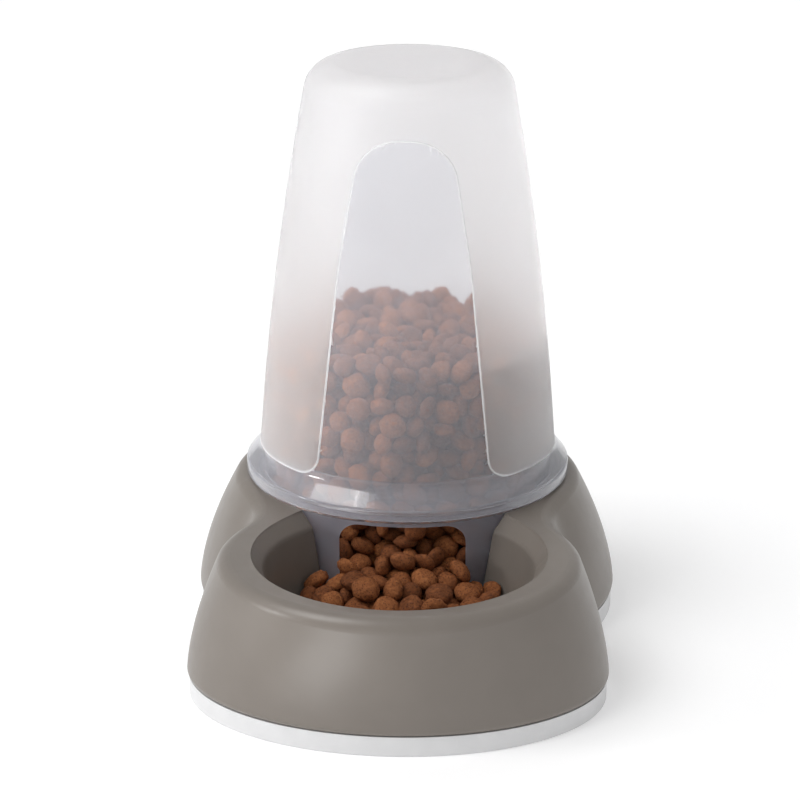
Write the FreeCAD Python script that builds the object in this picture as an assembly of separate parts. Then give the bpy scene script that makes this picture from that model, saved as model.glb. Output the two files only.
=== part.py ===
import FreeCAD, Part
import math
import os

# Gravity pet feeder: a two-lobed base with a bowl in front and a round seat behind,
# a chute that drops into the seat, and a hopper that stands on the chute.
# +Z is up, -Y is the front (bowl side), +X is to the right.
# The origin is on the floor, under the middle of the base.  Millimetres.

# ---- driving sizes: base ----
BASE_LENGTH = 287.0          # floor outline, front to back
REAR_RADIUS = 102.5          # rear lobe at the floor
FRONT_HALF_WIDTH = 97.5      # front lobe at the floor, across
FRONT_HALF_DEPTH = 71.0      # front lobe at the floor, front to back
WAIST_BLEND = 18.0           # how softly the two lobes run together at the waist
BASE_WALL = 2.5              # skin, bowl and seat walls
SEAT_Z = 68.5                # top of the rear lobe, where the chute's flange rests
RIM_DROP = 3.5               # bowl rim below the seat
SEAT_WIDTH = 10.5            # rear lobe's top edge, before rounding, outside the chute
BOWL_RIM_WIDTH = 12.0        # front lobe's top edge, before rounding, outside the bowl
TOP_EDGE_RADIUS = 7.0        # rounding of the top edge
FOOT_EDGE_RADIUS = 3.0       # rounding of the skin's lower edge
SIDE_CURVE = 1.65            # power law of the bulging side
SLOPE_START = 22.0           # the top starts to fall this far in front of the hopper axis
SLOPE_RUN = 46.0             # and has fallen to the rim height after this run

# ---- driving sizes: bowl ----
BOWL_OFFSET = 103.0          # bowl axis in front of the hopper axis
BOWL_RADIUS = 68.5           # inside of the rim
BOWL_LIP_WIDTH = 6.0         # sloping band inside the rim
BOWL_LIP_DROP = 7.0
BOWL_TAPER = 10.0            # narrower where wall and floor would meet
BOWL_FLOOR_Z = 18.0
BOWL_FLOOR_FILLET = 16.0
BOWL_LIP_BEND = 5.0          # where the sloping band meets the wall
BOWL_RIM_BEND = 3.0          # where the rim meets the sloping band

# ---- driving sizes: ribs under the base ----
RIB_THICKNESS = 1.8
RIB_CLEARANCE = 3.0          # above the non-slip ring's lip

# ---- driving sizes: non-slip ring ----
RING_HEIGHT = 9.5
RING_THICKNESS = 6.0
RING_SETBACK = 1.0           # ring face behind the widest part of the skin
RING_LIP_HEIGHT = 4.5        # lip that plugs up inside the skin
RING_LIP_THICKNESS = 2.0
RING_FIT = 0.3               # clearance between lip and skin
RING_EDGE_RADIUS = 0.8       # rounding of the outer edge on the floor

# ---- driving sizes: chute ----
CHUTE_RADIUS = 72.0          # outside, under the flange
CHUTE_TAPER = 4.5            # narrower at the lower end
CHUTE_WALL = 1.8
CHUTE_CLEARANCE = 0.8        # all round, in the seat well
CHUTE_FOOT_GAP = 0.6         # under the chute, so that it hangs from its flange
WELL_FLOOR_Z = 20.0
FLANGE_THICKNESS = 1.5
FLANGE_SETBACK = 0.8         # flange edge inside the hopper's lip
FLANGE_EDGE_RADIUS = 0.4
COLLAR_HEIGHT = 16.0         # above the flange
COLLAR_CLEARANCE = 0.45      # inside the hopper wall
COLLAR_FOOT_RADIUS = 1.0
COLLAR_TOP_RADIUS = 0.8
MOUTH_HALF_WIDTH = 30.0
MOUTH_TOP_DROP = 4.0         # mouth's upper edge below the seat
MOUTH_SILL_Z = 27.0
MOUTH_CORNER = 10.0
SLIDE_BACK_DROP = 4.5        # sloping floor below the seat, at the back of the chute
SLIDE_SILL_DROP = 3.0        # and below the mouth's sill, at the front

# ---- driving sizes: hopper ----
HOPPER_TOP_Z = 271.5
HOPPER_WALL = 2.0
LIP_FLARE = 7.2              # foot outside the wall; the clear skin lies a texture step inside
LIP_HEIGHT = 5.0
LIP_EDGE_RADIUS = 3.0
FLARE_HEIGHT = 14.0          # from the hopper's lower edge to where the wall starts
FLARE_BEND_RADIUS = 7.0
WALL_KNEE_LEAN = 7.4         # narrower at the knee, above which the wall leans a little more
WALL_KNEE_RISE = 92.0        # knee above the foot of the wall
WALL_TOP_LEAN = 16.7         # narrower again where the wall, carried up, meets the top plane
WALL_BEND_RADIUS = 1500.0
SHOULDER_RADIUS = 14.5
TEXTURE_STEP = 0.5           # the frosted skin stands this far proud of the clear window

# ---- driving sizes: viewing window in the hopper's front ----
PANEL_FOOT_RISE = 0.3        # lower edge of the frosted panels above the foot of the wall
PANEL_CORNER = 10.5          # rounding of the panels' lower corners
WINDOW_FOOT_HALF_WIDTH = 41.1
WINDOW_KNEE_Z = 186.0        # above this height the sides lean in a little more
WINDOW_KNEE_HALF_WIDTH = 30.8
WINDOW_KNEE_RADIUS = 250.0
WINDOW_TOP_Z = 245.6
WINDOW_TOP_HALF_WIDTH = 21.0
WINDOW_CROWN_RADIUS = 21.5

# ---- derived places ----
REAR_Y = BASE_LENGTH / 2 - REAR_RADIUS
FRONT_Y = -BASE_LENGTH / 2 + FRONT_HALF_DEPTH
BOWL_Y = REAR_Y - BOWL_OFFSET
SKIN_FOOT_Z = RING_HEIGHT
RIM_Z = SEAT_Z - RIM_DROP
REAR_TOP_RADIUS = CHUTE_RADIUS + SEAT_WIDTH
FRONT_TOP_RADIUS = BOWL_RADIUS + BOWL_RIM_WIDTH
BOWL_FLOOR_RADIUS = BOWL_RADIUS - BOWL_TAPER
HOPPER_FOOT_Z = SEAT_Z + FLANGE_THICKNESS
WALL_FOOT_Z = HOPPER_FOOT_Z + FLARE_HEIGHT
PANEL_FOOT_Z = WALL_FOOT_Z + PANEL_FOOT_RISE
WALL_FOOT_RADIUS = CHUTE_RADIUS                      # the hopper stands over the chute
WALL_KNEE_RADIUS = WALL_FOOT_RADIUS - WALL_KNEE_LEAN
WALL_TOP_RADIUS = WALL_KNEE_RADIUS - WALL_TOP_LEAN
LIP_RADIUS = WALL_FOOT_RADIUS + LIP_FLARE
CHUTE_FOOT_Z = WELL_FLOOR_Z + CHUTE_FOOT_GAP
CHUTE_FOOT_RADIUS = CHUTE_RADIUS - CHUTE_TAPER
MOUTH_TOP_Z = SEAT_Z - MOUTH_TOP_DROP
SLIDE_BACK_Z = SEAT_Z - SLIDE_BACK_DROP
SLIDE_FRONT_Z = MOUTH_SILL_Z - SLIDE_SILL_DROP
FLANGE_RADIUS = LIP_RADIUS - TEXTURE_STEP - FLANGE_SETBACK

OUTLINE_POINTS = 72
OUTLINE_BISECTIONS = 50
SIDE_LEVELS = 8
ABOVE = 30.0                 # overshoot of cutting tools
EDGE_SLACK = 0.05            # tolerance when edges are picked by height
SHORTEST_EDGE = 1e-6
UP = FreeCAD.Vector(0, 0, 1)


def vec(x, y, z):
    return FreeCAD.Vector(x, y, z)


# ---- outlines and profiles ----

def smooth_min(a, b, blend):
    overlap = max(blend - abs(a - b), 0.0) / blend
    return min(a, b) - overlap * overlap * blend / 4


def lobe_distance(x, y, centre_y, half_x, half_y):
    """Roughly how far a point lies outside an ellipse; negative inside it."""
    return (math.hypot(x / half_x, (y - centre_y) / half_y) - 1) * (half_x + half_y) / 2


def two_lobe_wire(lean, inset, z):
    """Outline of the base at height z: lean 0 is the floor outline and 1 the top edge."""
    rear = REAR_RADIUS + (REAR_TOP_RADIUS - REAR_RADIUS) * lean - inset
    half_x = FRONT_HALF_WIDTH + (FRONT_TOP_RADIUS - FRONT_HALF_WIDTH) * lean - inset
    half_y = FRONT_HALF_DEPTH + (FRONT_TOP_RADIUS - FRONT_HALF_DEPTH) * lean - inset
    front_y = FRONT_Y + (BOWL_Y - FRONT_Y) * lean
    waist_y = (REAR_Y + front_y) / 2

    def outside(x, y):
        to_rear = lobe_distance(x, y, REAR_Y, rear, rear)
        to_front = lobe_distance(x, y, front_y, half_x, half_y)
        return smooth_min(to_rear, to_front, WAIST_BLEND)

    points = []
    for i in range(OUTLINE_POINTS):
        angle = math.pi / 2 + 2 * math.pi * i / OUTLINE_POINTS
        low, high = 0.0, BASE_LENGTH
        for _ in range(OUTLINE_BISECTIONS):
            mid = (low + high) / 2
            if outside(mid * math.cos(angle), waist_y + mid * math.sin(angle)) > 0:
                high = mid
            else:
                low = mid
        points.append(vec(low * math.cos(angle), waist_y + low * math.sin(angle), z))
    curve = Part.BSplineCurve()
    curve.interpolate(Points=points, PeriodicFlag=True)
    return Part.Wire([curve.toShape()])


def two_lobe_slab(inset, z, height):
    """Upright slab with the floor outline, inset all round."""
    return Part.Face(two_lobe_wire(0, inset, z)).extrude(UP * height)


def rounded_face(corners, place):
    """Closed face through corners (u, v, radius), with an arc of that radius at each."""
    flat = [vec(u, v, 0) for u, v, _ in corners]
    count = len(corners)
    cuts = []
    for i, (_, _, radius) in enumerate(corners):
        here = flat[i]
        if radius == 0:
            cuts.append((here, None, here))
            continue
        back = (flat[i - 1] - here).normalize()
        ahead = (flat[(i + 1) % count] - here).normalize()
        half = back.getAngle(ahead) / 2
        reach = radius / math.tan(half)
        inward = (back + ahead).normalize()
        middle = here + inward * (radius / math.sin(half) - radius)
        cuts.append((here + back * reach, middle, here + ahead * reach))
    edges = []
    for i, (start, middle, end) in enumerate(cuts):
        if middle is not None:
            edges.append(Part.Arc(place(start), place(middle), place(end)).toShape())
        following = cuts[(i + 1) % count][0]
        if (following - end).Length > SHORTEST_EDGE:
            edges.append(Part.LineSegment(place(end), place(following)).toShape())
    return Part.Face(Part.Wire(edges))


def turned(corners, axis_y):
    """Solid of revolution about the upright axis at axis_y; corners are (r, z, radius)."""
    face = rounded_face(corners, lambda p: vec(p.x, axis_y, p.y))
    return face.revolve(vec(0, axis_y, 0), UP, 360)


def side_extrusion(corners, half_width):
    """Solid with a (y, z) section, running across the base."""
    face = rounded_face(corners, lambda p: vec(-half_width, p.x, p.y))
    return face.extrude(vec(2 * half_width, 0, 0))


def front_extrusion(corners, axis_y, reach):
    """Solid with an (x, z) section, running forward from axis_y."""
    face = rounded_face(corners, lambda p: vec(p.x, axis_y, p.y))
    return face.extrude(vec(0, -reach, 0))


def single_solid(shape, name):
    solids = shape.removeSplitter().Solids
    if len(solids) != 1:
        raise RuntimeError(f"{name} came out as {len(solids)} solids")
    return solids[0]


# ---- base shell ----

def side_body(inset):
    """Two-lobed body with bulging sides, running past the top surface."""
    wires = []
    for i in range(SIDE_LEVELS + 2):
        share = i / SIDE_LEVELS
        z = SKIN_FOOT_Z + (SEAT_Z - SKIN_FOOT_Z) * share
        wires.append(two_lobe_wire(share ** SIDE_CURVE, inset, z))
    return Part.makeLoft(wires, True, False)


def above_top(drop):
    """Everything above the top surface, which falls gently from the seat to the bowl rim."""
    start_y = REAR_Y - SLOPE_START
    end_y = start_y - SLOPE_RUN
    fall = SEAT_Z - RIM_Z
    bend = (SLOPE_RUN / 4) / math.tan(math.atan2(fall, SLOPE_RUN / 2) / 2)
    high = SEAT_Z + 4 * ABOVE
    corners = [
        (BASE_LENGTH, SEAT_Z - drop, 0),
        (start_y - SLOPE_RUN / 4, SEAT_Z - drop, bend),
        (end_y + SLOPE_RUN / 4, RIM_Z - drop, bend),
        (-BASE_LENGTH, RIM_Z - drop, 0),
        (-BASE_LENGTH, high, 0),
        (BASE_LENGTH, high, 0),
    ]
    return side_extrusion(corners, BASE_LENGTH)


def bowl_form(grow):
    """Space inside the bowl; grow adds the wall round it and leaves the top open."""
    top = SEAT_Z + ABOVE
    lip_z = RIM_Z - BOWL_LIP_DROP
    corners = [
        (0, BOWL_FLOOR_Z - grow, 0),
        (BOWL_FLOOR_RADIUS + grow, BOWL_FLOOR_Z - grow, BOWL_FLOOR_FILLET + grow),
        (BOWL_RADIUS - BOWL_LIP_WIDTH + grow, lip_z, BOWL_LIP_BEND),
        (BOWL_RADIUS + grow, RIM_Z, BOWL_RIM_BEND),
        (BOWL_RADIUS + grow, top, 0),
        (0, top, 0),
    ]
    return turned(corners, BOWL_Y)


def well_form(grow):
    """Round well that takes the chute."""
    top = SEAT_Z + ABOVE
    gap = CHUTE_CLEARANCE + grow
    corners = [
        (0, WELL_FLOOR_Z - grow, 0),
        (CHUTE_FOOT_RADIUS + gap, WELL_FLOOR_Z - grow, 0),
        (CHUTE_RADIUS + gap, SEAT_Z, 0),
        (CHUTE_RADIUS + gap, top, 0),
        (0, top, 0),
    ]
    return turned(corners, REAR_Y)


def underside_ribs():
    """Upright plates under the top that tie the bowl and the seat to the skin."""
    foot = RING_HEIGHT + RING_LIP_HEIGHT + RIB_CLEARANCE
    height = SEAT_Z - foot
    length = 2 * BASE_LENGTH
    half = RIB_THICKNESS / 2
    plates = [Part.makeBox(RIB_THICKNESS, length, height, vec(-half, -BASE_LENGTH, foot))]
    for y in (BOWL_Y, REAR_Y):
        plates.append(Part.makeBox(length, RIB_THICKNESS, height, vec(-BASE_LENGTH, y - half, foot)))
    return plates


def skin_border(shape, low, high):
    """Edges of the side skin that lie between two heights."""
    skin = max(shape.Faces, key=lambda face: face.BoundBox.ZLength)
    bottom = low - EDGE_SLACK
    top = high + EDGE_SLACK
    return [e for e in skin.Edges if e.BoundBox.ZMin > bottom and e.BoundBox.ZMax < top]


def make_base_shell():
    outer = side_body(0).cut(above_top(0))
    outer = outer.makeFillet(TOP_EDGE_RADIUS, skin_border(outer, RIM_Z, SEAT_Z))
    outer = outer.makeFillet(FOOT_EDGE_RADIUS, skin_border(outer, SKIN_FOOT_Z, SKIN_FOOT_Z))
    hollow = side_body(BASE_WALL).cut(above_top(BASE_WALL))
    hollow = hollow.cut([bowl_form(BASE_WALL), well_form(BASE_WALL)] + underside_ribs())
    return outer.cut([hollow, bowl_form(0), well_form(0)])


# ---- non-slip ring ----

def make_ring():
    outside = two_lobe_slab(RING_SETBACK, 0, RING_HEIGHT)
    inside = two_lobe_slab(RING_SETBACK + RING_THICKNESS, -ABOVE, 2 * ABOVE)
    lip_inset = BASE_WALL + RING_FIT
    lip_foot_z = RING_HEIGHT / 2
    lip_rise = RING_HEIGHT + RING_LIP_HEIGHT - lip_foot_z
    lip = two_lobe_slab(lip_inset, lip_foot_z, lip_rise)
    lip_hollow = two_lobe_slab(lip_inset + RING_LIP_THICKNESS, 0, 2 * ABOVE)
    ring = outside.cut(inside).fuse(lip.cut(lip_hollow))
    floor_edges = [e for e in ring.Edges if e.BoundBox.ZMax < EDGE_SLACK]
    widest = max(floor_edges, key=lambda e: e.BoundBox.XLength)
    return ring.makeFillet(RING_EDGE_RADIUS, [widest])


# ---- chute ----

def chute_cone(outset, foot_z, top_z):
    """Tapering drum that follows the chute's outer wall, grown outward by outset."""
    taper = (CHUTE_RADIUS - CHUTE_FOOT_RADIUS) / (SEAT_Z - CHUTE_FOOT_Z)
    foot = CHUTE_RADIUS - taper * (SEAT_Z - foot_z) + outset
    top = CHUTE_RADIUS - taper * (SEAT_Z - top_z) + outset
    return turned([(0, foot_z, 0), (foot, foot_z, 0), (top, top_z, 0), (0, top_z, 0)], REAR_Y)


def chute_slide():
    """Sloping floor that carries the food forward to the mouth."""
    back = (REAR_Y + CHUTE_RADIUS, SLIDE_BACK_Z)
    front = (REAR_Y - CHUTE_RADIUS, SLIDE_FRONT_Z)
    corners = [
        (back[0], back[1], 0),
        (front[0], front[1], 0),
        (front[0], front[1] - CHUTE_WALL, 0),
        (back[0], back[1] - CHUTE_WALL, 0),
    ]
    slab = side_extrusion(corners, CHUTE_RADIUS)
    return slab.common(chute_cone(-CHUTE_WALL / 2, CHUTE_FOOT_Z, SEAT_Z))


def make_chute():
    wall = chute_cone(0, CHUTE_FOOT_Z, SEAT_Z)
    wall = wall.cut(chute_cone(-CHUTE_WALL, CHUTE_FOOT_Z - ABOVE, SEAT_Z + ABOVE))
    collar_radius = HOPPER_THROAT_RADIUS - COLLAR_CLEARANCE
    collar_top_z = HOPPER_FOOT_Z + COLLAR_HEIGHT
    inner = collar_radius - CHUTE_WALL
    rim = turned([
        (inner, SEAT_Z, 0),
        (FLANGE_RADIUS, SEAT_Z, FLANGE_EDGE_RADIUS),
        (FLANGE_RADIUS, HOPPER_FOOT_Z, FLANGE_EDGE_RADIUS),
        (collar_radius, HOPPER_FOOT_Z, COLLAR_FOOT_RADIUS),
        (collar_radius, collar_top_z, COLLAR_TOP_RADIUS),
        (inner, collar_top_z, COLLAR_TOP_RADIUS),
    ], REAR_Y)
    mouth = front_extrusion([
        (-MOUTH_HALF_WIDTH, MOUTH_SILL_Z, MOUTH_CORNER),
        (MOUTH_HALF_WIDTH, MOUTH_SILL_Z, MOUTH_CORNER),
        (MOUTH_HALF_WIDTH, MOUTH_TOP_Z, MOUTH_CORNER),
        (-MOUTH_HALF_WIDTH, MOUTH_TOP_Z, MOUTH_CORNER),
    ], REAR_Y, CHUTE_RADIUS + ABOVE)
    return wall.fuse([rim, chute_slide()]).cut(mouth)


# ---- hopper ----

def hopper_line(inset):
    """Half section of the hopper's skin, inset from the outer surface: (r, z, radius)."""
    return [
        (LIP_RADIUS - inset, HOPPER_FOOT_Z, 0),
        (LIP_RADIUS - inset, HOPPER_FOOT_Z + LIP_HEIGHT, LIP_EDGE_RADIUS - inset),
        (WALL_FOOT_RADIUS - inset, WALL_FOOT_Z - inset / 2, FLARE_BEND_RADIUS + inset),
        (WALL_KNEE_RADIUS - inset, WALL_FOOT_Z + WALL_KNEE_RISE, WALL_BEND_RADIUS - inset),
        (WALL_TOP_RADIUS - inset, HOPPER_TOP_Z - inset, SHOULDER_RADIUS - inset),
        (0, HOPPER_TOP_Z - inset, 0),
    ]


def hopper_solid(inset):
    foot_z = HOPPER_FOOT_Z
    return turned([(0, foot_z, 0)] + hopper_line(inset), REAR_Y)


def clear_zone():
    """Region in front view where the skin is clear: the arched window and the foot band."""
    half = 2 * LIP_RADIUS
    below = HOPPER_FOOT_Z - ABOVE
    corners = [
        (half, below, 0),
        (half, PANEL_FOOT_Z, 0),
        (WINDOW_FOOT_HALF_WIDTH, PANEL_FOOT_Z, PANEL_CORNER),
        (WINDOW_KNEE_HALF_WIDTH, WINDOW_KNEE_Z, WINDOW_KNEE_RADIUS),
        (WINDOW_TOP_HALF_WIDTH, WINDOW_TOP_Z, WINDOW_CROWN_RADIUS),
    ]
    mirrored = [(-u, v, radius) for u, v, radius in reversed(corners)]
    window = front_extrusion(corners + mirrored, REAR_Y, 2 * LIP_RADIUS)
    band = Part.makeCylinder(half, PANEL_FOOT_Z - below, vec(0, REAR_Y, below))
    return window.fuse(band)


def make_hopper():
    body = hopper_solid(0)
    clear_body = hopper_solid(TEXTURE_STEP)
    texture = body.cut(clear_body)
    step = texture.common(clear_zone())
    return body.cut([step, hopper_solid(HOPPER_WALL)])


def throat_radius():
    """Narrowest inside radius of the hopper beside the chute's collar."""
    lean = (WALL_FOOT_RADIUS - WALL_KNEE_RADIUS) / WALL_KNEE_RISE
    return WALL_FOOT_RADIUS - HOPPER_WALL - lean * (COLLAR_HEIGHT - FLARE_HEIGHT)


HOPPER_THROAT_RADIUS = throat_radius()

BUILDERS = {
    "base_shell": make_base_shell,
    "non_slip_ring": make_ring,
    "chute": make_chute,
    "hopper": make_hopper,
}


def main():
    os.makedirs("parts", exist_ok=True)
    for name, build in BUILDERS.items():
        solid = single_solid(build(), name)
        solid.exportStep(f"parts/{name}.step")
        box = solid.BoundBox
        print(f"{name:14s} {solid.Volume / 1000:8.1f} cm3  z {box.ZMin:.2f} to {box.ZMax:.2f}")


if __name__ == "__main__":
    main()
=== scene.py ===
import math
import random

import bmesh
import bpy
import numpy as np
from mathutils import Matrix, Vector, noise
from mathutils.bvhtree import BVHTree


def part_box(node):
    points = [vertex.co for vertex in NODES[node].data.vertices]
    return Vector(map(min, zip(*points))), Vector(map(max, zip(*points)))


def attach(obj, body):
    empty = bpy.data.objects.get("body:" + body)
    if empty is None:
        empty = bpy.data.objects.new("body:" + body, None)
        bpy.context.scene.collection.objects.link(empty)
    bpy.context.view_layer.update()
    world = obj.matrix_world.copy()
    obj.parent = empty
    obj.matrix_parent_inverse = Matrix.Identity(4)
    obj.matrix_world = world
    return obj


# Looks of the gravity pet feeder.  Metres, in the CAD frame: +Z up, -Y to the front.

# ---- camera ----
CAMERA_TARGET = Vector((-0.0020, -0.0082, 0.1201))
CAMERA_DISTANCE = 1.400
CAMERA_AZIMUTH = -2.11       # degrees; below zero it stands to the right of the front
CAMERA_ELEVATION = 19.22
CAMERA_ROLL = 0.29
CAMERA_LENS = 133.9          # millimetres, on a 36 mm sensor

# ---- kibble ----
PELLET_AXES = (0.0063, 0.0060, 0.0037)   # half sizes of a pellet
PELLET_SIZES = (0.86, 1.08)              # smallest and largest, beside PELLET_AXES
PELLET_SQUEEZE = 0.94        # pellets press into each other a little
PELLET_SPACING = 0.0101      # first lattice, before they are pushed apart
PELLET_FLATNESS = (0.90, 1.12)           # of its thickness
PELLET_TONES = (0.32, 0.68)
PELLET_VARIANTS = 10
SETTLING_STEPS = 90
HOPPER_FILL_Z = 0.142        # level of the food in the hopper
HOPPER_HEAP = 0.006          # the middle stands this much higher
REPOSE_SLOPE = math.tan(math.radians(33))
HEAP_START = 0.058           # the heap slopes down from here, in front of the hopper axis
HEAP_TOP_Z = 0.062
SHELL_DEPTH = 0.022          # pellets deeper than this inside the heap get a coarse mesh
WALL_MARGIN = 0.0045         # first lattice points stay this far inside the walls
LATTICE_JITTER = 0.1         # of the lattice spacing
SINK_PER_STEP = 0.00006
LONGEST_MOVE = 0.0012        # in one step
PUSH_SHARE = 0.30            # share of an overlap that one step takes away
NEAR_WALL = 0.009            # closer to a wall than this, pellets lie flat against it
LYING_LOOSENESS = 0.55       # spread of the pellets' tilt where they lie on something
FREE_LOOSENESS = 1.5         # and in the middle of the store
HEAP_LEAN = Vector((0, -0.45, 1))        # upright of the heap's sloping surface

# ---- places in the chute and the bowl ----
MOUTH_TOP_Z = 0.0645
MOUTH_SILL_Z = 0.027
MOUTH_HALF_WIDTH = 0.030
MOUTH_FACE = 0.0725          # the mouth's outer face, from the hopper axis
BOWL_OFFSET = 0.103          # bowl axis in front of the hopper axis
STORE_FLOOR_Z = 0.021        # lowest place in the chute
CHUTE_SKIN_TOP_Z = 0.068     # just under the chute's flange
BOWL_FLOOR_Z = 0.019         # lowest place in the bowl
BOWL_TOP_Z = 0.064           # just under the bowl's rim

# ---- lights ----
WORLD_STRENGTH = 0.60        # what the surroundings give the object
SEEN_STRENGTH = 1.05         # and how bright they look themselves
FLOOR_GLOW = 0.20            # keeps the lit floor white, as an overexposed sweep is
PAINTED_POOL_PLACE = (-0.112, -0.262, 0)   # painted pool of light: the floor glows here, and the base mirrors it as a highlight
PAINTED_POOL_RADIUS = 0.095
PAINTED_POOL_GLOW = 7.0
KEY_AZIMUTH = 68             # degrees to the left of the front
KEY_ELEVATION = 56
KEY_STRENGTH = 1.30
KEY_WIDTH = 36
LIT_PLACE = Vector((0, 0, 0.10))
BOX_DISTANCE = 1.3
LOW_BOX_WAY = (-0.93, -0.30, 0.20)
LOW_BOX_SIZE = (0.30, 0.14)
LOW_BOX_POWER = 3.0
TOP_BOX_WAY = (-0.47, -0.39, 0.79)
TOP_BOX_SIZE = (0.13, 0.08)
TOP_BOX_POWER = 0.40
FLOOR_HALF = 12.0

# ---- window border ----
PANEL_FOOT_Z = 0.0843
WINDOW_CORNERS = (           # half width, height, corner radius, from the foot to the crown
    (0.0411, PANEL_FOOT_Z, 0.0105),
    (0.0308, 0.1860, 0.2500),
    (0.0210, 0.2456, 0.0215),
)
BEAD_RADIUS = 0.00048
BEAD_SIDES = 8
BEAD_SINK = 0.45             # share of its radius by which the bead lies in the skin
BEAD_STEP = 0.004            # longest straight piece of the bead beside the window
BEAD_ROUND_STEPS = 90        # pieces of the bead that runs round the back
PANEL_EDGE = 0.0015          # the skin's radius is read this far above the panels' lower edge
FLANGE_SLACK = 0.0003        # tells the chute's flange from the funnel below it

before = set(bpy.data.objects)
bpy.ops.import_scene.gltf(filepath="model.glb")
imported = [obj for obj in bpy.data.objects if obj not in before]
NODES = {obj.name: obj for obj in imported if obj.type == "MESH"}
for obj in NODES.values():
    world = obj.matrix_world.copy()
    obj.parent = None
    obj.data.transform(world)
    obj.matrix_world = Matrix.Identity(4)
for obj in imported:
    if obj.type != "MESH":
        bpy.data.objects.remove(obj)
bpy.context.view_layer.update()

HOPPER_LOW, HOPPER_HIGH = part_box("hopper")
CHUTE_LOW, CHUTE_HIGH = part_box("chute")
BASE_LOW, BASE_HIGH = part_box("base_shell")
AXIS_Y = (HOPPER_LOW.y + HOPPER_HIGH.y) / 2
BOWL_Y = AXIS_Y - BOWL_OFFSET

# Measuring rays lean a little, so that none runs along a seam of a mesh.
FORWARD = Vector((0.10, -1, 0)).normalized()
BACKWARD = Vector((0.11, 1, 0)).normalized()
SIDEWAYS = Vector((1, 0.13, 0)).normalized()


# ---- small helpers for node materials ----

class Shader:
    """A material's node tree, with a short way to add and join nodes."""

    def __init__(self, name):
        self.material = bpy.data.materials.new(name)
        self.material.use_nodes = True
        self.nodes = self.material.node_tree.nodes
        self.links = self.material.node_tree.links
        self.nodes.clear()
        self.output = self.nodes.new("ShaderNodeOutputMaterial")
        self.place = self.nodes.new("ShaderNodeTexCoord").outputs["Object"]

    def add(self, kind, values=(), **settings):
        node = self.nodes.new(kind)
        for key, value in settings.items():
            setattr(node, key, value)
        for key, value in dict(values).items():
            if isinstance(value, bpy.types.NodeSocket):
                self.links.new(value, node.inputs[key])
            else:
                node.inputs[key].default_value = value
        return node

    def noise(self, scale, detail=2.0, roughness=0.5, place=None):
        values = {"Scale": scale, "Detail": detail, "Roughness": roughness}
        values["Vector"] = place or self.place
        return self.add("ShaderNodeTexNoise", values).outputs["Fac"]

    def ramp(self, value, stops):
        node = self.add("ShaderNodeValToRGB", {"Fac": value})
        elements = node.color_ramp.elements
        while len(elements) < len(stops):
            elements.new(0.5)
        for element, (position, colour) in zip(elements, stops):
            element.position = position
            element.color = (*colour, 1)
        return node.outputs["Color"]

    def span(self, value, low, high):
        """value, which runs from 0 to 1, brought to the range from low to high."""
        values = {"Value": value, "To Min": low, "To Max": high}
        return self.add("ShaderNodeMapRange", values).outputs["Result"]

    def bump(self, height, strength, distance, normal=None):
        values = {"Height": height, "Strength": strength, "Distance": distance}
        if normal is not None:
            values["Normal"] = normal
        return self.add("ShaderNodeBump", values).outputs["Normal"]

    def principled(self, **values):
        named = {key.replace("_", " "): value for key, value in values.items()}
        return self.add("ShaderNodeBsdfPrincipled", named).outputs["BSDF"]

    def mix(self, share, first, second):
        node = self.add("ShaderNodeMixShader", {0: share})
        self.links.new(first, node.inputs[1])
        self.links.new(second, node.inputs[2])
        return node.outputs["Shader"]

    def done(self, surface):
        self.links.new(surface, self.output.inputs["Surface"])
        return self.material


# ---- materials ----

def satin_plastic(name, pale, dark, roughness):
    """Moulded plastic: faint mottling, fine spark-eroded grain and a satin shine."""
    s = Shader(name)
    colour = s.ramp(s.noise(45, 3), [(0.30, dark), (0.70, pale)])
    shine = s.span(s.noise(160, 3), roughness - 0.05, roughness + 0.06)
    grain = s.bump(s.noise(3800, 2), 0.10, 0.0002)
    wave = s.bump(s.noise(60, 1), 0.05, 0.0010, grain)
    return s.done(s.principled(Base_Color=colour, Roughness=shine, Normal=wave, IOR=1.49))


def soft_rubber(name):
    """White elastomer, nearly matt, with a trace of dust."""
    s = Shader(name)
    colour = s.ramp(s.noise(90, 4), [(0.25, (0.66, 0.66, 0.665)), (0.75, (0.71, 0.71, 0.715))])
    shine = s.span(s.noise(240, 2), 0.50, 0.62)
    grain = s.bump(s.noise(2600, 2), 0.14, 0.0002)
    return s.done(s.principled(Base_Color=colour, Roughness=shine, Normal=grain, IOR=1.45))


def milky_plastic(name, tint, veil, veil_colours, roughness, grain_strength, shadow):
    """Translucent polypropylene: light passes with a blur, and a milky share of it scatters."""
    s = Shader(name)
    cloud = s.noise(38, 3)
    shine = s.span(s.noise(210, 3), roughness - 0.03, roughness + 0.04)
    wave = s.bump(s.noise(55, 1), 0.02, 0.0005)
    grain = s.bump(s.noise(2400, 2), grain_strength, 0.0002, wave) if grain_strength else wave
    clear = s.principled(
        Base_Color=(*tint, 1), Roughness=shine, Normal=grain, IOR=1.49, Transmission_Weight=1.0
    )
    colour = s.ramp(cloud, [(0.2, veil_colours[0]), (0.8, veil_colours[1])])
    skin = s.principled(Base_Color=colour, Roughness=shine, Normal=grain, IOR=1.49)
    glow = s.add("ShaderNodeBsdfTranslucent", {"Color": colour, "Normal": grain}).outputs["BSDF"]
    milk = s.mix(0.5, skin, glow)
    body = s.mix(s.span(cloud, veil - 0.03, veil + 0.03), clear, milk)
    passed = s.add("ShaderNodeBsdfTransparent", {"Color": (*shadow, 1)}).outputs["BSDF"]
    shadow_ray = s.add("ShaderNodeLightPath").outputs["Is Shadow Ray"]
    return s.done(s.mix(shadow_ray, body, passed))


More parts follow.
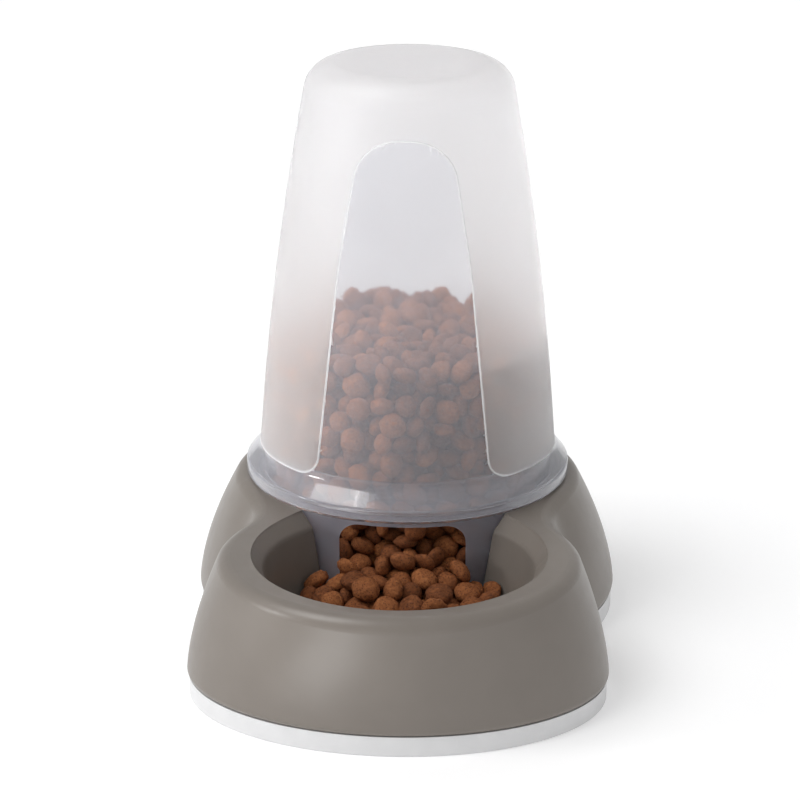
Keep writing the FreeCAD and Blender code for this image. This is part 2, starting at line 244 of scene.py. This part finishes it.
def baked_kibble(name):
    """Brown baked dough: each pellet has its own tone, with a crumbly, speckled crust."""
    s = Shader(name)
    tone = s.add("ShaderNodeAttribute", attribute_name="tone").outputs["Fac"]
    mottle = s.noise(480, 5, 0.7)
    mixed = s.add("ShaderNodeMath", {0: tone, 1: mottle}, operation="ADD").outputs["Value"]
    half = s.add("ShaderNodeMath", {0: mixed, 1: 0.5}, operation="MULTIPLY").outputs["Value"]
    crust = s.ramp(half, [
        (0.30, (0.090, 0.025, 0.006)),
        (0.44, (0.200, 0.061, 0.016)),
        (0.56, (0.330, 0.110, 0.032)),
        (0.72, (0.520, 0.205, 0.070)),
    ])
    speck = s.add("ShaderNodeTexVoronoi", {"Vector": s.place, "Scale": 850.0}).outputs["Distance"]
    fleck = s.ramp(speck, [(0.12, (0.38, 0.33, 0.30)), (0.42, (1, 1, 1))])
    colour = s.add(
        "ShaderNodeMix", {"Factor": 1.0, "A": crust, "B": fleck}, data_type="RGBA", blend_type="MULTIPLY"
    )
    crumbs = s.bump(s.noise(750, 5, 0.7), 1.0, 0.0012)
    return s.done(s.principled(
        Base_Color=colour.outputs["Result"], Roughness=0.72, Normal=crumbs, Specular_IOR_Level=0.35
    ))


def studio_floor(name):
    s = Shader(name)
    colour = s.ramp(s.noise(2.5, 2), [(0.3, (0.86, 0.86, 0.865)), (0.7, (0.88, 0.88, 0.885))])
    # Painted pool of light: the floor's glow rises round one place in front of the base, which the base
    # mirrors as its front highlight.
    away = s.add("ShaderNodeVectorMath", {0: s.place, 1: PAINTED_POOL_PLACE}, operation="DISTANCE").outputs["Value"]
    pool = {"Value": away, "From Max": PAINTED_POOL_RADIUS, "To Min": PAINTED_POOL_GLOW, "To Max": FLOOR_GLOW}
    glow = s.add("ShaderNodeMapRange", pool, interpolation_type="SMOOTHSTEP").outputs["Result"]
    return s.done(s.principled(
        Base_Color=colour, Roughness=0.7, Emission_Color=(1, 1, 1, 1), Emission_Strength=glow
    ))


# ---- reading the frame ----

class Walls:
    """Search tree over the surfaces of CAD nodes, with the radii that rays find in it."""

    def __init__(self, *names):
        points = []
        faces = []
        for name in names:
            mesh = NODES[name].data
            first = len(points)
            points += [v.co.copy() for v in mesh.vertices]
            faces += [[first + i for i in p.vertices] for p in mesh.polygons]
        self.tree = BVHTree.FromPolygons(points, faces)

    def bore(self, axis_y, z, direction):
        """Distance from an upright axis to the first wall at height z."""
        start = Vector((0, axis_y, z))
        hit = self.tree.ray_cast(start, direction)[0]
        return (hit - start).length if hit else 0.0

    def skin(self, axis_y, z, direction):
        """Distance from an upright axis to the outermost wall at height z."""
        start = Vector((0, axis_y, z)) + direction
        hit = self.tree.ray_cast(start, -direction)[0]
        return 1 - (hit - start).length if hit else 0.0

    def floor(self, x, y, z):
        """Height of the first surface below a point."""
        hit = self.tree.ray_cast(Vector((x, y, z)), Vector((0, 0, -1)))[0]
        return hit.z if hit else 0.0


class RadiusTable:
    """A radius as a function of height, read from rays at even steps."""

    def __init__(self, measure, low, high, step=0.001):
        self.heights = np.arange(low, high, step)
        self.radii = np.array([measure(z) for z in self.heights])

    def at(self, z):
        return np.interp(z, self.heights, self.radii)


# ---- kibble: shapes ----

def pellet_shape(seed, subdivisions):
    """One lumpy lens of about radius 1 before scaling, as (points, triangles)."""
    ball = bmesh.new()
    bmesh.ops.create_icosphere(ball, subdivisions=subdivisions, radius=1)
    shift = Vector((seed * 3.7, seed * 1.9, seed * 5.3))
    for v in ball.verts:
        direction = v.co.copy()
        lump = 0.14 * noise.noise(direction * 1.3 + shift)
        crumb = 0.10 * noise.noise(direction * 3.2 + shift)
        grit = 0.07 * noise.noise(direction * 7.0 + shift)
        v.co = direction * (1 + lump + crumb + grit)
    points = np.array([v.co for v in ball.verts])
    triangles = np.array([[v.index for v in f.verts] for f in ball.faces])
    ball.free()
    return points, triangles


def random_turn(rng, normal, looseness):
    """A turn that lays a pellet's thin side along normal, give or take looseness."""
    tilt = Vector([rng.gauss(0, looseness) for _ in range(3)])
    lying = (normal + tilt).normalized().to_track_quat("Z", "Y").to_matrix()
    spin = Matrix.Rotation(rng.uniform(0, 2 * math.pi), 3, "Z")
    return np.array(lying @ spin)


# ---- kibble: packing ----

class FoodSpace:
    """Where the food lies: the hopper and the chute down to its mouth, and a heap in the bowl."""

    def __init__(self):
        self.walls = Walls("hopper", "chute", "base_shell")
        chute = Walls("chute")
        base = Walls("base_shell")
        self.fill_limit = HOPPER_FILL_Z + 2 * HOPPER_HEAP
        self.bore = RadiusTable(
            lambda z: self.walls.bore(AXIS_Y, z, SIDEWAYS), STORE_FLOOR_Z, self.fill_limit + 0.008
        )
        self.chute_skin = RadiusTable(
            lambda z: chute.skin(AXIS_Y, z, SIDEWAYS), STORE_FLOOR_Z, CHUTE_SKIN_TOP_Z
        )
        self.bowl = RadiusTable(lambda z: base.bore(BOWL_Y, z, FORWARD), BOWL_FLOOR_Z, BOWL_TOP_Z)

    def level(self, x, y, z):
        """Height of the free surface: level in the hopper, a cone that starts behind the mouth."""
        from_axis = math.hypot(x, y - AXIS_Y)
        behind_mouth = AXIS_Y - y > HEAP_START and abs(x) < MOUTH_HALF_WIDTH and z < MOUTH_TOP_Z
        if from_axis < MOUTH_FACE and not behind_mouth:
            return HOPPER_FILL_Z + HOPPER_HEAP * (1 - from_axis / MOUTH_FACE)
        return HEAP_TOP_Z - REPOSE_SLOPE * math.hypot(x, y - (AXIS_Y - HEAP_START))

    def in_mouth(self, x, y, z):
        outward = math.hypot(x, y - AXIS_Y)
        beside = abs(x) < MOUTH_HALF_WIDTH and y < AXIS_Y
        return beside and MOUTH_SILL_Z < z < MOUTH_TOP_Z and outward < MOUTH_FACE + PELLET_AXES[0]

    def in_store(self, x, y, z):
        if math.hypot(x, y - AXIS_Y) > self.bore.at(z) - WALL_MARGIN:
            return False
        return z > self.walls.floor(x, y, HOPPER_FILL_Z) + WALL_MARGIN

    def in_bowl(self, x, y, z):
        if z > self.bowl.heights[-1]:
            return False
        outside_chute = math.hypot(x, y - AXIS_Y) > self.chute_skin.at(z) + WALL_MARGIN
        return outside_chute and math.hypot(x, y - BOWL_Y) < self.bowl.at(z) - WALL_MARGIN

    def holds(self, x, y, z):
        if z > self.level(x, y, z):
            return False
        return self.in_store(x, y, z) or self.in_bowl(x, y, z) or self.in_mouth(x, y, z)

    def rests_inside(self, x, y, z):
        """False for the few pellets that were pushed through a wall while they settled."""
        if math.hypot(x, y - AXIS_Y) < self.bore.at(z):
            return z > self.walls.floor(x, y, self.fill_limit)
        return z > self.bowl.heights[0] and math.hypot(x, y - BOWL_Y) < self.bowl.at(z)


def first_places(space, rng):
    """Jittered close-packed lattice that fills the food space."""
    step = PELLET_SPACING
    rise = step * math.sqrt(2 / 3)
    row = step * math.sqrt(3) / 2
    around = 0.08
    ahead = 0.19
    places = []

    def jitter():
        return rng.uniform(-LATTICE_JITTER, LATTICE_JITTER) * step

    for k in range(int((HOPPER_FILL_Z + HOPPER_HEAP) / rise) + 1):
        for j in range(-int(ahead / row), int(around / row)):
            for i in range(-int(around / step), int(around / step)):
                x = (i + 0.5 * ((j + k) % 2)) * step + jitter()
                y = AXIS_Y + (j + (k % 2) / 3) * row + jitter()
                z = k * rise + jitter()
                if space.holds(x, y, z):
                    places.append((x, y, z))
    return np.array(places)


def reach_along(shapes, directions):
    """How far each ellipsoid reaches along its direction; shapes are 3 by 3 matrices."""
    return np.sqrt(np.einsum("ni,nij,nj->n", directions, shapes, directions))


def near_pairs(places, limit):
    """Index pairs of the places that are closer than limit."""
    cells = {}
    for index, key in enumerate(map(tuple, np.floor(places / limit).astype(int))):
        cells.setdefault(key, []).append(index)
    pairs = []
    for (a, b, c), members in cells.items():
        around = []
        for da in (-1, 0, 1):
            for db in (-1, 0, 1):
                for dc in (-1, 0, 1):
                    around += cells.get((a + da, b + db, c + dc), [])
        around = np.array(around)
        for index in members:
            later = around[around > index]
            near = later[np.linalg.norm(places[later] - places[index], axis=1) < limit]
            pairs += [(index, other) for other in near]
    return np.array(pairs)


def settle(space, places, shapes, steps):
    """Pushes overlapping pellets apart and out of the walls, sinking a little each step."""
    limit = 2.3 * PELLET_AXES[0]
    for step in range(steps):
        if step % 8 == 0:
            pairs = near_pairs(places, limit)
            first, second = pairs[:, 0], pairs[:, 1]
        gap = places[second] - places[first]
        length = np.maximum(np.linalg.norm(gap, axis=1), 1e-6)
        along = gap / length[:, None]
        touching = reach_along(shapes[first], along) + reach_along(shapes[second], along)
        push = np.maximum(touching * PELLET_SQUEEZE - length, 0)[:, None] * along * PUSH_SHARE
        move = np.zeros_like(places)
        np.add.at(move, second, push)
        np.add.at(move, first, -push)
        move[:, 2] -= SINK_PER_STEP
        size = np.linalg.norm(move, axis=1)
        move *= (np.minimum(size, LONGEST_MOVE) / np.maximum(size, 1e-9))[:, None]
        places = places + move
        for index, place in enumerate(places):
            hit, normal, _, _ = space.walls.tree.find_nearest(Vector(place), PELLET_AXES[0])
            if hit is None:
                continue
            away = Vector(place) - hit
            normal = normal if away.dot(normal) < 0 else away.normalized()
            outward = np.array(normal)
            need = math.sqrt(outward @ shapes[index] @ outward)
            depth = need - (Vector(place) - hit).dot(normal)
            if depth > 0:
                places[index] = place + outward * min(depth, LONGEST_MOVE)
    return places


def first_turn(space, rng, place):
    """How a pellet lies: flat on a wall close by, with the heap's slope, or any way round."""
    hit, normal, _, distance = space.walls.tree.find_nearest(Vector(place), 2 * NEAR_WALL)
    in_heap = math.hypot(place[0], place[1] - AXIS_Y) > MOUTH_FACE
    if hit is not None and not in_heap and distance < NEAR_WALL:
        return random_turn(rng, normal, LYING_LOOSENESS)
    if in_heap:
        return random_turn(rng, HEAP_LEAN, LYING_LOOSENESS)
    return random_turn(rng, Vector((0, 0, 1)), FREE_LOOSENESS)


def make_kibble(material):
    """All the food, as lumpy pellets: what lies in hopper and chute, and what lies in the bowl."""
    rng = random.Random(11)
    space = FoodSpace()
    places = first_places(space, rng)
    turns = []
    scales = []
    for place in places:
        turns.append(first_turn(space, rng, place))
        size = rng.uniform(*PELLET_SIZES)
        flat = rng.uniform(*PELLET_FLATNESS)
        scales.append([PELLET_AXES[0] * size, PELLET_AXES[1] * size, PELLET_AXES[2] * size * flat])
    turns = np.array(turns)
    scales = np.array(scales)
    shapes = np.einsum("nij,nj,nkj->nik", turns, scales ** 2, turns)
    places = settle(space, places, shapes, SETTLING_STEPS)
    coarse, plain, fine = (
        [pellet_shape(seed, subdivisions) for seed in range(PELLET_VARIANTS)] for subdivisions in (1, 2, 3)
    )
    groups = {"kibble_in_hopper": [], "kibble_in_chute": [], "kibble_in_bowl": []}
    for index, (x, y, z) in enumerate(places):
        if not space.rests_inside(x, y, z):
            continue
        from_axis = math.hypot(x, y - AXIS_Y)
        stored = from_axis < space.bore.at(z) or space.in_mouth(x, y, z)
        if not stored:
            group, shape = "kibble_in_bowl", fine
        else:
            group = "kibble_in_hopper" if z > HOPPER_LOW.z else "kibble_in_chute"
            depth = min(space.bore.at(z) - from_axis, HOPPER_FILL_Z - z)
            seen = depth < SHELL_DEPTH or y < AXIS_Y - MOUTH_FACE / 2
            shape = plain if seen else coarse
        groups[group].append((index, shape[index % PELLET_VARIANTS]))
    for name, members in groups.items():
        piece = join_pellets(name, members, places, turns, scales, rng)
        piece.data.materials.append(material)
        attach(piece, "base" if name == "kibble_in_bowl" else "chute")


def join_pellets(name, members, places, turns, scales, rng):
    points = []
    triangles = []
    tones = []
    first = 0
    for index, (shape, faces) in members:
        points.append((shape * scales[index]) @ turns[index].T + places[index])
        triangles.append(faces + first)
        tones += [rng.uniform(*PELLET_TONES)] * len(shape)
        first += len(shape)
    mesh = bpy.data.meshes.new(name)
    mesh.from_pydata(np.concatenate(points).tolist(), [], np.concatenate(triangles).tolist())
    mesh.attributes.new("tone", "FLOAT", "POINT").data.foreach_set("value", tones)
    mesh.shade_smooth()
    piece = bpy.data.objects.new(name, mesh)
    bpy.context.scene.collection.objects.link(piece)
    return piece


# ---- window border on the hopper ----

def rounded_corner(before, here, after, radius, steps=8):
    """Points of the arc that rounds a corner of a flat outline."""
    back = (before - here).normalized()
    ahead = (after - here).normalized()
    half = back.angle(ahead) / 2
    centre = here + (back + ahead).normalized() * (radius / math.sin(half))
    start = (here + back * (radius / math.tan(half)) - centre).normalized()
    end = (here + ahead * (radius / math.tan(half)) - centre).normalized()
    return [centre + start.slerp(end, k / steps) * radius for k in range(steps + 1)]


def window_outline():
    """Left half of the clear window's border in front view, from its foot to the crown."""
    corners = [Vector((-u, v, 0)) for u, v, _ in WINDOW_CORNERS]
    far_foot = Vector((-1.6 * WINDOW_CORNERS[0][0], PANEL_FOOT_Z, 0))
    mirror = Vector((WINDOW_CORNERS[-1][0], WINDOW_CORNERS[-1][1], 0))
    path = [far_foot, *corners, mirror]
    points = []
    for k, (_, _, radius) in enumerate(WINDOW_CORNERS):
        points += rounded_corner(path[k], path[k + 1], path[k + 2], radius)
    return points


def make_window_border(skin, material):
    """Fine bead where the frosted skin ends: round the window and along the panels' feet."""
    foot_radius = float(skin.at(PANEL_FOOT_Z + PANEL_EDGE))
    left = window_outline()
    filled = []
    for a, b in zip(left, left[1:]):
        parts = max(1, int((b - a).length / BEAD_STEP))
        filled += [a.lerp(b, k / parts) for k in range(parts)]
    filled.append(left[-1])
    line = []
    for p in filled + [Vector((-p.x, p.y, 0)) for p in reversed(filled)]:
        radius = float(skin.at(p.y))
        line.append(Vector((p.x, AXIS_Y - math.sqrt(radius ** 2 - p.x ** 2), p.y)))
    start = math.atan2(line[-1].x, AXIS_Y - line[-1].y)
    turn = 2 * math.pi - 2 * start
    for k in range(1, BEAD_ROUND_STEPS):
        angle = start + turn * k / BEAD_ROUND_STEPS
        across = foot_radius * math.sin(angle)
        line.append(Vector((across, AXIS_Y - foot_radius * math.cos(angle), PANEL_FOOT_Z)))
    piece = sweep_bead("window_border", line)
    piece.data.materials.append(material)
    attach(piece, "hopper")


def sweep_bead(name, line):
    """Round bead along a closed line, sunk a little into the skin."""
    curve = bpy.data.curves.new(name + "_line", "CURVE")
    curve.dimensions = "3D"
    curve.bevel_depth = BEAD_RADIUS
    curve.bevel_resolution = BEAD_SIDES // 4
    spline = curve.splines.new("POLY")
    spline.points.add(len(line) - 1)
    for point, place in zip(spline.points, line):
        inward = Vector((place.x, place.y - AXIS_Y, 0)).normalized() * -BEAD_SINK * BEAD_RADIUS
        point.co = (*(place + inward), 1)
    spline.use_cyclic_u = True
    swept = bpy.data.objects.new(name + "_line", curve)
    bpy.context.scene.collection.objects.link(swept)
    graph = bpy.context.evaluated_depsgraph_get()
    mesh = bpy.data.meshes.new_from_object(swept.evaluated_get(graph))
    bpy.data.objects.remove(swept)
    mesh.name = name
    mesh.shade_smooth()
    mesh.materials.clear()
    piece = bpy.data.objects.new(name, mesh)
    bpy.context.scene.collection.objects.link(piece)
    return piece


# ---- materials on the CAD nodes ----

def dress(name, *materials):
    slots = NODES[name].data.materials
    slots.clear()
    for material in materials:
        slots.append(material)


def dress_chute(funnel, collar):
    """A cloudy funnel, darkened with painted shade of the bowl it stands in, and a clearer flange and
    collar in the hopper's foot.
    """
    dress("chute", funnel, collar)
    for polygon in NODES["chute"].data.polygons:
        polygon.material_index = 1 if polygon.center.z > BASE_HIGH.z - FLANGE_SLACK else 0


def dress_hopper(frosted, clear):
    """Frosted panels, and a smooth clear finish on the window and the foot, inside and out."""
    mesh = NODES["hopper"].data
    dress("hopper", frosted, clear)
    outline = window_outline()
    heights = [p.y for p in outline]
    half_widths = [-p.x for p in outline]
    for polygon in mesh.polygons:
        centre = polygon.center
        below = centre.z < PANEL_FOOT_Z
        in_height = centre.z < heights[-1] and centre.y < AXIS_Y
        in_window = in_height and abs(centre.x) < np.interp(centre.z, heights, half_widths)
        polygon.material_index = 1 if below or in_window else 0


# ---- studio ----

def area_light(name, place, target, size, power):
    data = bpy.data.lights.new(name, "AREA")
    data.shape = "RECTANGLE"
    data.size, data.size_y = size
    data.energy = power
    light = bpy.data.objects.new(name, data)
    light.location = place
    light.rotation_euler = (Vector(target) - Vector(place)).to_track_quat("-Z", "Y").to_euler()
    bpy.context.scene.collection.objects.link(light)


def sun(name, azimuth, elevation, strength, width):
    """Even light from one side; azimuth 0 comes from the front, and grows to the left."""
    data = bpy.data.lights.new(name, "SUN")
    data.energy = strength
    data.angle = math.radians(width)
    light = bpy.data.objects.new(name, data)
    turn, rise = math.radians(azimuth), math.radians(elevation)
    toward = Vector((-math.sin(turn) * math.cos(rise), -math.cos(turn) * math.cos(rise), math.sin(rise)))
    light.rotation_euler = toward.to_track_quat("Z", "Y").to_euler()
    bpy.context.scene.collection.objects.link(light)


def make_world(seen_strength, lit_strength):
    """Plain white surroundings, with their own strength for what they light."""
    world = bpy.data.worlds.new("studio")
    world.use_nodes = True
    tree = world.node_tree
    tree.nodes.clear()
    mix = tree.nodes.new("ShaderNodeMixShader")
    path = tree.nodes.new("ShaderNodeLightPath")
    tree.links.new(path.outputs["Is Camera Ray"], mix.inputs[0])
    for socket, strength in ((1, lit_strength), (2, seen_strength)):
        background = tree.nodes.new("ShaderNodeBackground")
        background.inputs["Color"].default_value = (1, 1, 1, 1)
        background.inputs["Strength"].default_value = strength
        tree.links.new(background.outputs[0], mix.inputs[socket])
    output = tree.nodes.new("ShaderNodeOutputWorld")
    tree.links.new(mix.outputs[0], output.inputs["Surface"])
    bpy.context.scene.world = world


def make_floor():
    corners = [(x * FLOOR_HALF, y * FLOOR_HALF, 0) for x, y in ((-1, -1), (1, -1), (1, 1), (-1, 1))]
    mesh = bpy.data.meshes.new("floor")
    mesh.from_pydata(corners, [], [(0, 1, 2, 3)])
    mesh.materials.append(studio_floor("studio_floor"))
    floor = bpy.data.objects.new("floor", mesh)
    bpy.context.scene.collection.objects.link(floor)


def make_studio():
    make_world(SEEN_STRENGTH, WORLD_STRENGTH)
    sun("key_left", KEY_AZIMUTH, KEY_ELEVATION, KEY_STRENGTH, KEY_WIDTH)
    for name, way, size, power in (
        ("low_box", LOW_BOX_WAY, LOW_BOX_SIZE, LOW_BOX_POWER),
        ("top_box", TOP_BOX_WAY, TOP_BOX_SIZE, TOP_BOX_POWER),
    ):
        area_light(name, LIT_PLACE + Vector(way) * BOX_DISTANCE, LIT_PLACE, size, power)
    make_floor()
    bpy.context.scene.view_settings.view_transform = "Standard"


def make_camera():
    azimuth = math.radians(CAMERA_AZIMUTH)
    elevation = math.radians(CAMERA_ELEVATION)
    forward = Vector((
        math.sin(azimuth) * math.cos(elevation),
        math.cos(azimuth) * math.cos(elevation),
        -math.sin(elevation),
    ))
    data = bpy.data.cameras.new("camera")
    data.lens = CAMERA_LENS
    data.clip_start = 0.05
    data.clip_end = 60
    camera = bpy.data.objects.new("camera", data)
    camera.location = CAMERA_TARGET - forward * CAMERA_DISTANCE
    level = forward.to_track_quat("-Z", "Y").to_matrix()
    camera.rotation_euler = (level @ Matrix.Rotation(math.radians(CAMERA_ROLL), 3, "Z")).to_euler()
    bpy.context.scene.collection.objects.link(camera)
    bpy.context.scene.camera = camera


# ---- putting it together ----

def main():
    make_camera()
    make_studio()
    hopper_walls = Walls("hopper")
    skin = RadiusTable(lambda z: hopper_walls.skin(AXIS_Y, z, BACKWARD), HOPPER_LOW.z + 0.001, 0.25)
    frosted = milky_plastic(
        "frosted_polypropylene", (0.98, 0.98, 0.985), 0.26, ((0.88, 0.87, 0.88), (0.92, 0.91, 0.92)),
        0.50, 0.20, (0.92, 0.92, 0.92)
    )
    clear = milky_plastic(
        "clear_polypropylene", (0.98, 0.98, 0.985), 0.19, ((0.75, 0.76, 0.84), (0.79, 0.80, 0.88)),
        0.07, 0, (0.92, 0.92, 0.92)
    )
    # The bead's whiter, milkier colour than the frosted skin is a painted highlight of the light that the
    # window's edge catches; the bead's shape is the edge's step.
    bead = milky_plastic(
        "window_edge_painted_highlight", (0.98, 0.98, 0.98), 0.75, ((0.93, 0.93, 0.93), (0.96, 0.96, 0.96)),
        0.20, 0, (0.90, 0.90, 0.90)
    )
    # Funnel: the same plastic as the collar, with darker tint, veil and shadow colours that paint the shade
    # of the bowl it stands in; its veil is also cloudier and rougher.
    funnel = milky_plastic(
        "funnel_polypropylene_painted_shade", (0.88, 0.88, 0.91), 0.52, ((0.47, 0.47, 0.53), (0.51, 0.51, 0.57)),
        0.34, 0, (0.80, 0.80, 0.82)
    )
    collar = milky_plastic(
        "collar_polypropylene", (0.96, 0.96, 0.97), 0.08, ((0.70, 0.70, 0.76), (0.74, 0.74, 0.80)),
        0.08, 0, (0.92, 0.92, 0.92)
    )
    dress("base_shell", satin_plastic("taupe_plastic", (0.186, 0.163, 0.142), (0.174, 0.152, 0.132), 0.33))
    dress("non_slip_ring", soft_rubber("white_elastomer"))
    dress_chute(funnel, collar)
    dress_hopper(frosted, clear)
    make_window_border(skin, bead)
    make_kibble(baked_kibble("baked_kibble"))


main()
